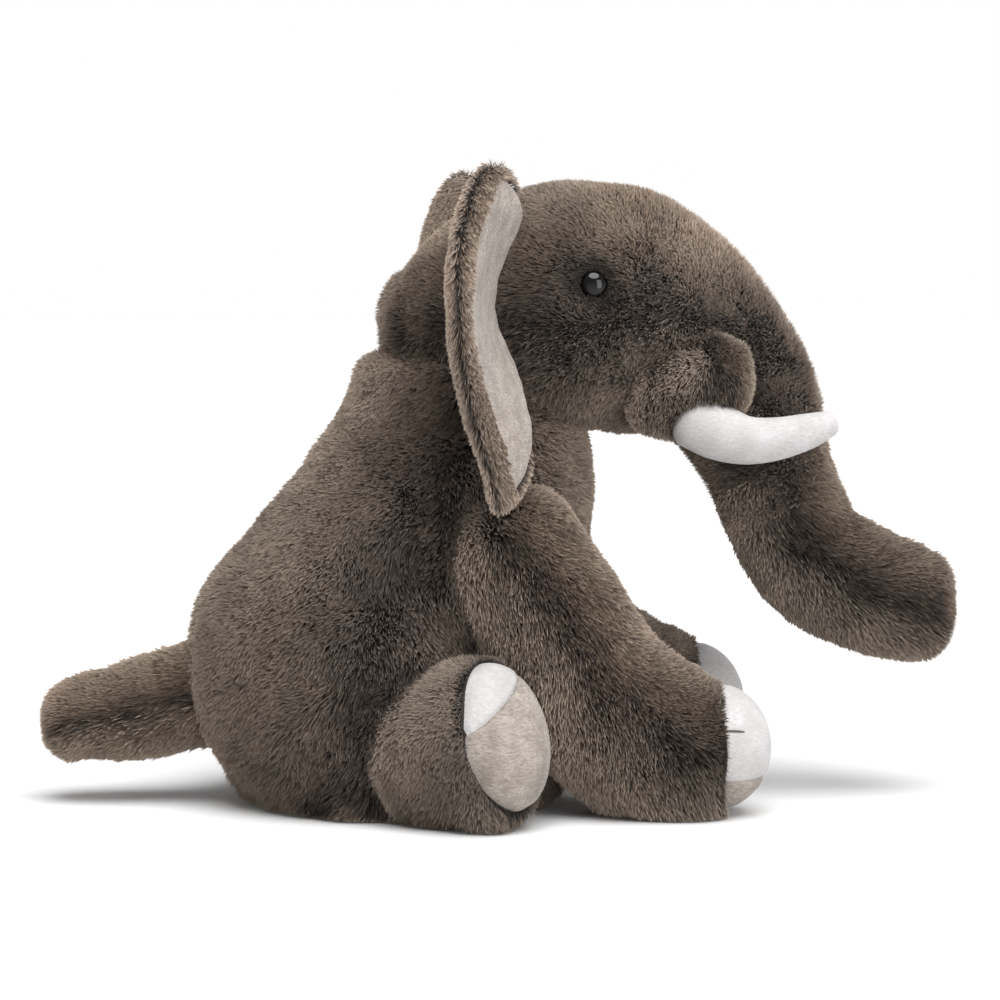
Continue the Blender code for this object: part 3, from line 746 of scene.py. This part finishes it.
# %% [markdown]
# ## Tail
# The tail is a thin sack with the longest and shaggiest pile.

# %% Tail
tail_cover = closed_piece("tail_cover", covers["tail"], backing)
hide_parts("tail_skin", "tail_stuffing")
sew([tail_cover], seam="tail")
# painted light: the tail's pile, the same plush, is made paler than the body's
hairs = grow_pile(
    "tail_pile", covers["tail"], 44000, (-1, 0, -0.2), length=8.0, lean=0.7, follow=0.4,
    cull=hidden_by("body"), painted_light_tone=1.4,
)
sew(hairs, seam="tail")

# %% [markdown]
# ## Minky and velboa
# Minky is a knitted polyester with a nap of two or three millimetres, brushed so that it shows fine
# ripples. Velboa is the same cloth shorn to under a millimetre: nearly smooth, with a soft bloom.
# Both patterns read Object coordinates, at the size of the real nap.

# %% Short-napped materials


def nap_material(name, dark, light, ripple, fine, depth, sheen):
    """Napped cloth: light and dark patches, ripples stretched along the brushing, and fine grain.

    The bump's height is 0.6 times the ripple noise plus 0.4 times the grain noise.
    """
    material, tree, shader = new_material(name, roughness=0.85, sheen=sheen)
    where = add_node(tree, "ShaderNodeTexCoord")
    brushed = add_node(tree, "ShaderNodeMapping", [("Vector", where, "Object")])
    brushed.inputs["Rotation"].default_value = (0.3, 0.5, 0.2)
    brushed.inputs["Scale"].default_value = (1.0, 0.8, 2.6)
    patches = add_node(
        tree, "ShaderNodeTexNoise", [("Vector", where, "Object")], Scale=1 / (9 * MM), Detail=4.0
    )
    ripples = add_node(
        tree, "ShaderNodeTexNoise", [("Vector", brushed, "Vector")], Scale=1 / (ripple * MM), Detail=2.0
    )
    grain = add_node(
        tree, "ShaderNodeTexNoise", [("Vector", where, "Object")], Scale=1 / (fine * MM), Detail=1.0
    )
    mix = add_node(
        tree, "ShaderNodeMath", [(0, patches, "Fac"), (1, ripples, "Fac")], {"operation": "MULTIPLY"}
    )
    colour = add_node(tree, "ShaderNodeValToRGB", [("Fac", mix, "Value")])
    set_stops(colour, [(0.12, dark), (0.38, light)])
    tree.links.new(colour.outputs["Color"], shader.inputs["Base Color"])
    height = add_node(
        tree, "ShaderNodeMath", [(0, ripples, "Fac"), (2, grain, "Fac")], {"operation": "MULTIPLY_ADD"}
    )
    height.inputs[1].default_value = 1.4
    bump = add_node(tree, "ShaderNodeBump", [("Height", height, "Value")], Strength=0.6)
    bump.inputs["Distance"].default_value = depth * MM
    tree.links.new(bump.outputs["Normal"], shader.inputs["Normal"])
    return material


minky = nap_material("brushed_minky", "7B726A", "A1988F", ripple=2.2, fine=0.8, depth=0.7, sheen=0.2)
velboa = nap_material("white_velboa", "A5A2A1", "B7B4B5", ripple=2.0, fine=0.6, depth=0.3, sheen=0.15)


def thread_material(name, colour):
    """Twisted polyester thread: dark, with a slight gloss."""
    material, tree, shader = new_material(name, roughness=0.55)
    where = add_node(tree, "ShaderNodeTexCoord")
    twist = add_node(tree, "ShaderNodeTexNoise", [("Vector", where, "Object")], Scale=1 / (0.5 * MM))
    tint = add_node(tree, "ShaderNodeValToRGB", [("Fac", twist, "Fac")])
    set_stops(tint, [(0.3, colour), (0.7, "5B5650")])
    tree.links.new(tint.outputs["Color"], shader.inputs["Base Color"])
    return material


thread = thread_material("dark_sewing_thread", "35302C")

# %% [markdown]
# ## Feet
# Each foot is closed by two panels: a white toe panel and a grey sole pad, sewn together along a
# straight line. Both lie on the foot's dome, which bulges with the filling and is pulled in at the
# seam and at the rim.

# %% Foot panels
NEAR_RIM = 0.9995


def foot_panel(surface, dome, line, lean, side, toe, steps=48):
    """Grid on one side of the toe seam, on the dome that closes a foot.

    In a disc that stands for the foot's oval, n is measured up a leaning direction and p across it,
    and the seam is the line n = d. For each p the toe panel runs from max(d, -c) to c, with
    c = sqrt(1 - p^2), and the sole from -c to min(d, c). At r from the middle the dome stands
    dome * sqrt(1 - r^2) proud, drawn in by exp(-(distance/width)^2) at the seam and at the rim.
    """
    cut = {key: value[-1] for key, value in surface["cut"].items()}
    height, width = cut["half"]
    tilt = math.radians(lean) * side
    normal = np.array([-math.sin(tilt) * width, math.cos(tilt) * height])
    offset = line * MM / np.linalg.norm(normal)
    normal = unit(normal)
    along = np.array([normal[1], -normal[0]])
    short = (offset > 0) == toe
    reach = math.sqrt(1 - offset**2) if short else 1.0
    p = NEAR_RIM * reach * np.sin(np.linspace(-math.pi / 2, math.pi / 2, steps))[:, None]
    rim = np.sqrt(1 - p**2)
    low, high = (np.maximum(offset, -rim), rim) if toe else (-rim, np.minimum(offset, rim))
    q = np.linspace(0, 1, 28)[None]
    n = low + (high - low) * q
    flat = p[..., None] * along + n[..., None] * normal
    radius = np.minimum(np.linalg.norm(flat, axis=-1), 1.0)
    proud = dome * MM * np.sqrt(1 - radius**2)
    to_seam = np.abs(n - offset) * height / MM
    to_rim = (1 - radius) * height / MM
    crease = 1.2 * np.exp(-((to_seam / 1.4) ** 2)) + 1.0 * np.exp(-((to_rim / 1.0) ** 2))
    puckers = 0.25 * np.sin(p * 55) * np.exp(-((to_seam / 4) ** 2))
    proud = proud + (0.6 - crease + puckers) * MM
    side_part = (flat[..., :1] * width) * cut["sideways"]
    up_part = (flat[..., 1:] * height) * cut["upward"]
    return cut["centre"] + side_part + up_part + proud[..., None] * cut["heading"]


def add_foot(kind, side_name, dome, line, lean):
    """Toe panel and sole pad of one foot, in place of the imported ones."""
    name = f"{kind}_{side_name}"
    for toe, part, material, slot in (
        (True, "toe_panel", velboa, "white_velboa"),
        (False, "sole_pad", minky, "grey_minky"),
    ):
        grid = foot_panel(covers[name], dome, line, lean, SIDES[side_name], toe)
        panel = sheet_piece(f"{kind}_{part}_cover_{side_name}", grid, 1.0, material)
        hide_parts(f"{kind}_{part}_{side_name}")
        sew([panel], body=name)


def short_and_painted_shade_at_foot(surface):
    """Rule for the length and shade of pile: shorter beside a foot's panels, so that it frames them, and
    darker there as painted shade low by the floor.
    """
    centre, heading = surface["cut"]["centre"][-1], surface["cut"]["heading"][-1]

    def trim(root):
        gap = -((root - centre) @ heading) / MM
        share = (0.55 + 0.45 * np.clip(gap / 9, 0, 1)) * flop(root)[0]
        # painted shade: the pile darkens towards the foot, low down by the floor
        return share, np.interp(gap, [0, 25, 50], [0.72, 0.85, 1.0])

    return trim


def past_foot(surface, *names):
    """Rule that leaves pile out on a foot's dome and where a limb runs into the body."""
    centre, heading = surface["cut"]["centre"][-1], surface["cut"]["heading"][-1]

    def cull(points):
        return ((points - centre) @ heading > 0.3 * MM) | hidden_by(*names)(points)

    return cull


# %% [markdown]
# ## Front and hind legs
# Four short sacks sewn to the body. Two stitches on each front foot mark its toes.

# %% Legs


def toe_stitch(name, surface, dome, angle, length=10.0, thickness=0.55, steps=14):
    """Thread laid on a foot's dome from its rim towards the middle, as a closed tube.

    Along the stitch the share k of the oval falls from 1, and the dome stands dome*sqrt(1 - k^2)
    proud. The tube's own section is a circle round that path.
    """
    cut = {key: value[-1] for key, value in surface["cut"].items()}
    high, wide = cut["half"]
    oval = math.cos(angle) * high * cut["upward"] + math.sin(angle) * wide * cut["sideways"]
    swing = np.linspace(0.12, 0.12 + length / (dome + 6), steps)[:, None]
    path = cut["centre"] + np.cos(swing) * oval + np.sin(swing) * (dome + 0.7) * MM * cut["heading"]
    ahead = unit(np.gradient(path, axis=0))
    out = unit(oval + cut["heading"] * 1e-4)
    side_way = unit(np.cross(ahead, out))
    turn = np.linspace(0, 2 * math.pi, 8, endpoint=False)[None, :, None]
    taper = (np.sin(np.linspace(0.15, math.pi - 0.15, steps)) ** 0.4)[:, None, None]
    ring = np.cos(turn) * np.cross(side_way, ahead)[:, None] + np.sin(turn) * side_way[:, None]
    points = path[:, None] + ring * thickness * MM * taper
    return closed_piece(name, {"points": points, "poles": path[[0, -1]]}, thread)


for side_name, side in SIDES.items():
    arm, leg = covers[f"arm_{side_name}"], covers[f"leg_{side_name}"]
    arm_cover = closed_piece(f"arm_cover_{side_name}", arm, backing)
    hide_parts(f"arm_skin_{side_name}", f"arm_stuffing_{side_name}")
    sew([arm_cover], seam=f"shoulder_{side_name}")
    # painted light: the arms' pile is made paler, as if lit from the front
    hairs = grow_pile(
        f"arm_pile_{side_name}", arm, 78000, (0.2, 0, -1), follow=0.5,
        cull=past_foot(arm, "body"), trim=short_and_painted_shade_at_foot(arm), painted_light_tone=1.3,
    )
    sew(hairs, seam=f"shoulder_{side_name}")
    add_foot("arm", side_name, ARM_FOOT_DOME, -12, 0)
    for number, angle in enumerate((1.2, -1.2)):
        stitch = toe_stitch(f"toe_stitch_{side_name}_{number}", arm, ARM_FOOT_DOME, angle)
        sew([stitch], body=f"arm_{side_name}")

    leg_cover = closed_piece(f"leg_cover_{side_name}", leg, backing)
    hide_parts(f"leg_skin_{side_name}", f"leg_stuffing_{side_name}")
    sew([leg_cover], seam=f"hip_{side_name}")
    hairs = grow_pile(
        f"leg_pile_{side_name}", leg, 40000, (0, 0, -1), follow=0.3,
        cull=past_foot(leg, "body"), trim=short_and_painted_shade_at_foot(leg),
    )
    sew(hairs, seam=f"hip_{side_name}")
    add_foot("leg", side_name, LEG_FOOT_DOME, 15, 28)

# %% [markdown]
# ## Cheeks and tusks
# A pouch of plush swells on each side of the trunk's root, and a white velboa tusk comes out of it.

# %% Cheeks and tusks
for side_name, side in SIDES.items():
    cheek, tusk = covers[f"cheek_{side_name}"], covers[f"tusk_{side_name}"]
    cheek_cover = closed_piece(f"cheek_cover_{side_name}", cheek, backing)
    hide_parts(f"cheek_skin_{side_name}", f"cheek_stuffing_{side_name}")
    sew([cheek_cover], body="head")

    def inside_face(points, tusk=tusk):
        return inside(covers["head"], points, 5) | inside(tusk, points, 1)

    hairs = grow_pile(f"cheek_pile_{side_name}", cheek, 16000, (0.3, 0, -1), length=5.5, cull=inside_face)
    sew(hairs, body="head")
    tusk_cover = closed_piece(f"tusk_cover_{side_name}", tusk, velboa)
    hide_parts(f"tusk_skin_{side_name}", f"tusk_stuffing_{side_name}")
    sew([tusk_cover], body="head")

# %% [markdown]
# ## Eyes
# A safety eye is a polished black plastic dome on a post that goes through the fabric. It is turned
# from a profile, as a lathe would make it, and set square to the head.

# %% Eyes


def polished_plastic(name, colour):
    """Injection-moulded and polished plastic: black, mirror smooth, with faint moulding waves."""
    material, tree, shader = new_material(name, roughness=0.04, ior=1.38)
    where = add_node(tree, "ShaderNodeTexCoord")
    waves = add_node(tree, "ShaderNodeTexNoise", [("Vector", where, "Object")], Scale=1 / (4 * MM))
    tint = add_node(tree, "ShaderNodeValToRGB", [("Fac", waves, "Fac")])
    set_stops(tint, [(0.3, colour), (0.7, "0C0A0A")])
    tree.links.new(tint.outputs["Color"], shader.inputs["Base Color"])
    bump = add_node(tree, "ShaderNodeBump", [("Height", waves, "Fac")], Strength=0.05)
    bump.inputs["Distance"].default_value = 0.02 * MM
    tree.links.new(bump.outputs["Normal"], shader.inputs["Normal"])
    return material


eye_black = polished_plastic("polished_black_plastic", "040303")


def turned(profile, centre, axis, around=48):
    """Grid turned round an axis from a profile of (radius, height) rows in millimetres."""
    axis = unit(np.array(axis))
    first = unit(np.cross(axis, [0.0, 0.0, 1.0]))
    second = np.cross(axis, first)
    angle = np.linspace(0, 2 * math.pi, around, endpoint=False)[None, :, None]
    radius, height = (np.array(profile)[:, k, None, None] * MM for k in (0, 1))
    points = centre + axis * height + radius * (np.cos(angle) * first + np.sin(angle) * second)
    return points


for side_name in SIDES:
    centre, normal = eyes[side_name]
    dome = [(EYE_RADIUS * math.cos(a), 0.2 + 3.8 * math.sin(a)) for a in np.linspace(0, 1.45, 16)]
    profile = [(2.0, -3.0), (2.0, -0.4), (EYE_RADIUS - 0.7, -0.2), (EYE_RADIUS - 0.1, 0.3), *dome]
    points = turned(profile, centre, normal)
    poles = np.array([centre - normal * 3 * MM, centre + normal * 4.0 * MM])
    eye = closed_piece(f"eye_dome_{side_name}", {"points": points, "poles": poles}, eye_black)
    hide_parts(f"eye_{side_name}")
    sew([eye], body="head")

# %% [markdown]
# ## Ears
# An ear is two layers sewn round the edge: plush behind, which rolls over the rim, and minky in
# front. It hangs from an upright seam, leans back, and bends in an S from its top to its bottom.

# %% Ear surface
EAR_OUTLINE = [
    (0, 184), (-1, 211), (0, 237), (13, 254), (33, 266), (52, 260), (63, 238),
    (63, 210), (56, 180), (48, 150), (38, 132), (27, 138), (12, 163),
]
EAR_MIDDLE = np.array([31, 204])
EAR_SEAM = (-1, -55)
EAR_BEND = [
    (128, 15), (144, 18), (160, 14), (174, 5), (190, -3), (206, -9.5),
    (222, -8.5), (236, -2.5), (248, 6), (257, 9), (268, 9),
]
EAR_SWEEP = 0.25
EAR_TWIST = 0.014
EAR_HALF_THICKNESS = 3.6
EAR_POINTS = 120


def ear_middle(out, height):
    """How far forward the middle of an ear lies: bend - (sweep + twist*(bend + 8))*out.

    The bend at each height is the S seen from the side: the top and the bottom of the ear come
    forward of its middle.
    """
    table = smooth_rows(EAR_BEND, 200)
    bend = np.interp(height, table[:, 0], table[:, 1])
    return bend - (EAR_SWEEP + EAR_TWIST * (bend + 8)) * out


def ear_grid(shares, depths, side, outline):
    """Points of an ear: a ring for each share of the outline, at a depth in front of its middle."""
    flat = EAR_MIDDLE + (outline[None] - EAR_MIDDLE) * np.array(shares)[:, None, None]
    out, height = flat[..., 0], flat[..., 1]
    x = ear_middle(out, height) + depths
    y = (EAR_SEAM[1] - out) * side
    return (np.stack([x, y, height], -1) + PATTERN_SHIFT) * MM


def ear_cushion(side):
    """Closed cushion: a goes from the middle of the back, round the rim, to the middle of the front.

    The share of the outline is sin(a)^0.45, and the depth is -cos(a) times half the thickness.
    """
    outline = smooth_rows(EAR_OUTLINE, EAR_POINTS, closed=True)
    ends = [0.003, 0.02]
    a = np.concatenate([ends, np.linspace(0.08, math.pi - 0.08, 40), math.pi - np.array(ends[::-1])])
    shares = np.sin(a) ** 0.45
    depths = (-np.cos(a) * EAR_HALF_THICKNESS)[:, None]
    middle = ear_grid([0, 0], np.array([[-1.0], [1.0]]) * EAR_HALF_THICKNESS, side, outline)[:, 0]
    return {"points": ear_grid(shares, depths, side, outline), "poles": middle, "turn": a}


def ear_lining(side):
    """Front of the ear, sewn in under the rolled rim, with small puckers beside the seam."""
    outline = smooth_rows(EAR_OUTLINE, EAR_POINTS, closed=True)
    shares = np.concatenate([np.linspace(0.93, 0.8, 10), np.linspace(0.78, 0.04, 22), [0.002]])
    outer = np.clip(outline[:, 0] / 30, 0, 1)
    low = np.clip((195 - outline[:, 1]) / 45, 0, 1) * np.clip((outline[:, 0] - 35) / 15, 0, 1)
    outline = EAR_MIDDLE + (outline - EAR_MIDDLE) * (1.06 - 0.06 * outer - 0.18 * low)[:, None]
    around = np.linspace(0, 2 * math.pi, EAR_POINTS, endpoint=False)
    edge = (0.93 - shares)[:, None] / 0.13
    puckers = 0.25 * np.sin(around * 31 + 2 * np.sin(around * 3))[None] * np.exp(-((edge - 0.6) ** 2) / 0.5)
    depths = EAR_HALF_THICKNESS + 1.2 * np.clip(edge, 0, 1) ** 0.5 - 0.8 + puckers
    depths = depths + 1.0 * np.sin(around * 2 + 1)[None] * (shares**2)[:, None]
    return ear_grid(shares, depths, side, outline)


# %% Ears
for side_name, side in SIDES.items():
    cushion = ear_cushion(side)
    lining = ear_lining(side)
    core = closed_piece(f"ear_cover_{side_name}", cushion, backing)
    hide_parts(f"ear_back_{side_name}")
    front = sheet_piece(f"ear_lining_cover_{side_name}", lining, 0.8, minky, closed=True)
    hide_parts(f"ear_lining_{side_name}")
    sew([core], seam=f"ear_{side_name}")
    sew([front], seam=f"ear_{side_name}")
    back = {"points": cushion["points"][cushion["turn"] < 2.7]}

    def bare(points, side=side):
        """No pile inside the head, or in front of the seam on the side next to the head."""
        out = -points[..., 1] * side / MM + EAR_SEAM[1]
        height = points[..., 2] / MM
        ahead = points[..., 0] / MM - PATTERN_SHIFT[0] - ear_middle(out, height)
        limit = np.interp(out, [10, 50], [0, 1]) * np.interp(height, [160, 190], [3.4, 2.5])
        return inside(covers["head"], points, 3) | (ahead > limit)

    # painted light: the ear's pile is made paler, where its rim catches the light
    hairs = grow_pile(
        f"ear_pile_{side_name}", back, 40000, (-0.25, 0, -1), length=5.0, lean=0.9, cull=bare, painted_light_tone=1.45
    )
    sew(hairs, seam=f"ear_{side_name}")

# %% [markdown]
# ## Studio
# A white sweep under a white horizon, a large soft light overhead, and a small softbox that puts
# the highlight in the eye. The room is dimmer above the horizon, so the light has a direction.

# %% Floor and light
floor = new_piece("floor", [(-9, -9, 0), (9, -9, 0), (9, 9, 0), (-9, 9, 0)], [(0, 1, 2, 3)], smooth=False)
white, _, white_shader = new_material("white_paper_sweep", roughness=0.9)
white_shader.inputs["Base Color"].default_value = linear("DCDCDC")
white_shader.inputs["Specular IOR Level"].default_value = 0.1
floor.data.materials.append(white)

world = bpy.data.worlds.new("white_room")
bpy.context.scene.world = world
world.use_nodes = True
room = world.node_tree
direction = add_node(room, "ShaderNodeTexCoord")
height = add_node(room, "ShaderNodeSeparateXYZ", [("Vector", direction, "Generated")])
walls = add_node(room, "ShaderNodeValToRGB", [("Fac", height, "Z")])
set_stops(walls, [(0.12, "FFFFFF"), (0.45, "A8A8A8")])
room.links.new(walls.outputs["Color"], room.nodes["Background"].inputs["Color"])
room.nodes["Background"].inputs["Strength"].default_value = 1.0


def add_light(name, kind, location, target, power, **settings):
    """Light that faces a target, with the settings of its kind."""
    light = bpy.data.lights.new(name, kind)
    light.energy = power
    for key, value in settings.items():
        setattr(light, key, value)
    lamp = bpy.data.objects.new(name, light)
    bpy.context.scene.collection.objects.link(lamp)
    lamp.location = location
    aim = Vector(target) - Vector(location)
    lamp.rotation_euler = aim.to_track_quat("-Z", "Y").to_euler()


add_light("overhead_softbox", "SUN", (0.15, -0.6, 2.0), (0, 0, 0.1), 4.0, angle=math.radians(50))
add_light(
    "front_softbox", "AREA", (0.46, -0.62, 0.38), (0.03, -0.02, 0.15), 2.8,
    shape="RECTANGLE", size=0.36, size_y=0.6,
)

# %% Camera
CAMERA_DISTANCE = 1.5
CAMERA_HEIGHT = 0.24
TURN = math.radians(4)
LOOK_DOWN = math.radians(4.3)
AIM_X = -0.0009
camera = bpy.data.cameras.new("camera")
camera.lens = 126.9
camera.clip_end = 30
viewer = bpy.data.objects.new("camera", camera)
bpy.context.scene.collection.objects.link(viewer)
back_off = (-CAMERA_DISTANCE * math.sin(TURN), -CAMERA_DISTANCE * math.cos(TURN))
viewer.location = (AIM_X + back_off[0], back_off[1], CAMERA_HEIGHT)
viewer.rotation_euler = (math.pi / 2 - LOOK_DOWN, 0, -TURN)
bpy.context.scene.camera = viewer
bpy.context.scene.view_settings.view_transform = "Standard"
